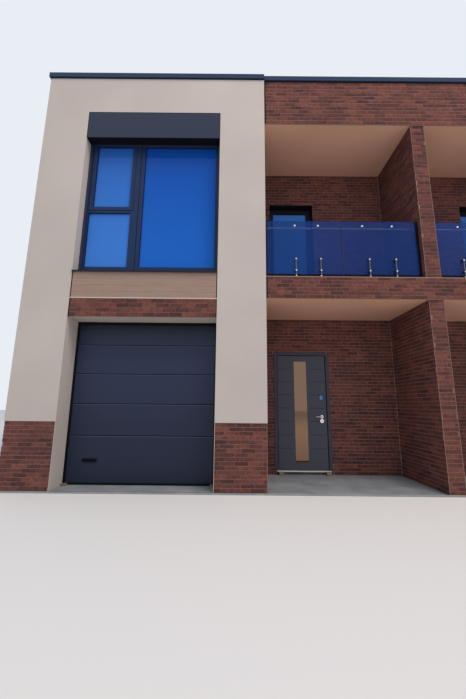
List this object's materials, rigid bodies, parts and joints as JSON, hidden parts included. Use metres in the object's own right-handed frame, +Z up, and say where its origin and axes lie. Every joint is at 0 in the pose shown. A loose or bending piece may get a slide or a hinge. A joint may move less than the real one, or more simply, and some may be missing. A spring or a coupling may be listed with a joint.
{
  "type": "duplex house",
  "caption": "Modern two-storey duplex house with rendered garage portals, brick recesses, glass balconies, flat roof and front doors that open.",
  "frame": {"origin": "on the ground, at the middle of the plan, at the bottom centre of the bounding box", "axes": "+X to the right along the street front as seen from the street, +Y from the street front towards the rear, +Z up"},
  "size_m": [12.56, 9.05, 6.81],
  "materials": {
    "render": "fine mineral render, warm grey-beige",
    "brick": "thin clinker bricks with pinkish grey joints",
    "concrete": "smooth grey concrete",
    "ceiling_render": "fine beige render",
    "roof_membrane": "matt roofing membrane",
    "board": "light brown facade board",
    "anthracite_sheet": "anthracite powder-coated sheet",
    "window_profile": "anthracite powder-coated profile",
    "glass": "coated double glazing",
    "balustrade_glass": "laminated safety glass",
    "mirror_glass": "mirror-coated glazing strip",
    "stainless": "satin stainless steel",
    "garage_sheet": "anthracite coated steel sections",
    "door_steel": "anthracite painted steel",
    "rubber": "black sealing rubber",
    "packing_wood": "raw softwood",
    "threshold_metal": "plain aluminium"
  },
  "bodies": {
    "root": {"ground_slabs": "concrete", "floor_slabs": "concrete", "balcony_slab": "concrete", "recess_ceilings": "ceiling_render", "roof_slab": "roof_membrane", "portal_piers": "render", "portal_lintels": "render", "side_walls": "render", "rear_wall_piers": "render", "rear_wall_infills": "render", "party_wall": "brick", "party_fin": "brick", "recess_side_walls": "brick", "back_walls_beside_doors": "brick", "back_walls_over_doors": "brick", "spandrel_beam": "concrete", "recess_brick_bands": "brick", "garage_brick_bands": "brick", "board_panels": "board", "brick_plinth": "brick", "coping": "anthracite_sheet", "shutter_boxes": "anthracite_sheet", "window_sills": "anthracite_sheet", "window_frames": "window_profile", "balcony_door_frames": "window_profile", "rear_window_frames": "window_profile", "window_glass": "glass", "garage_door_sections": "garage_sheet", "garage_door_pulls": "rubber", "garage_door_seals": "rubber", "packing_blocks": "packing_wood", "front_door_frames": "door_steel", "door_thresholds": "threshold_metal", "balustrade_glass": "balustrade_glass", "balustrade_posts": "stainless", "glass_buttons": "stainless", "handrails": "stainless"},
    "left_door": {"left_door_leaf": "door_steel", "left_door_glazing": "mirror_glass", "left_door_furniture": "stainless"},
    "left_lever": {"left_door_lever": "stainless"},
    "right_door": {"right_door_leaf": "door_steel", "right_door_glazing": "mirror_glass", "right_door_furniture": "stainless"},
    "right_lever": {"right_door_lever": "stainless"}
  },
  "joints": [
    {"name": "left_door_hinge", "type": "hinge", "parent": "root", "child": "left_door", "pos_m": [-2.255, -3.178, 1.08], "axis": [0, 0, 1], "range_deg": [0, 90]},
    {"name": "left_lever_turn", "type": "hinge", "parent": "left_door", "child": "left_lever", "pos_m": [-1.468, -3.223, 0.994], "axis": [0, -1, 0], "range_deg": [0, 45], "stiffness_Nm_per_rad": 2, "springref_deg": -34.38},
    {"name": "right_door_hinge", "type": "hinge", "parent": "root", "child": "right_door", "pos_m": [2.255, -3.178, 1.08], "axis": [0, 0, -1], "range_deg": [0, 90]},
    {"name": "right_lever_turn", "type": "hinge", "parent": "right_door", "child": "right_lever", "pos_m": [1.468, -3.223, 0.994], "axis": [0, 1, 0], "range_deg": [0, 45], "stiffness_Nm_per_rad": 2, "springref_deg": -34.38}
  ]
}
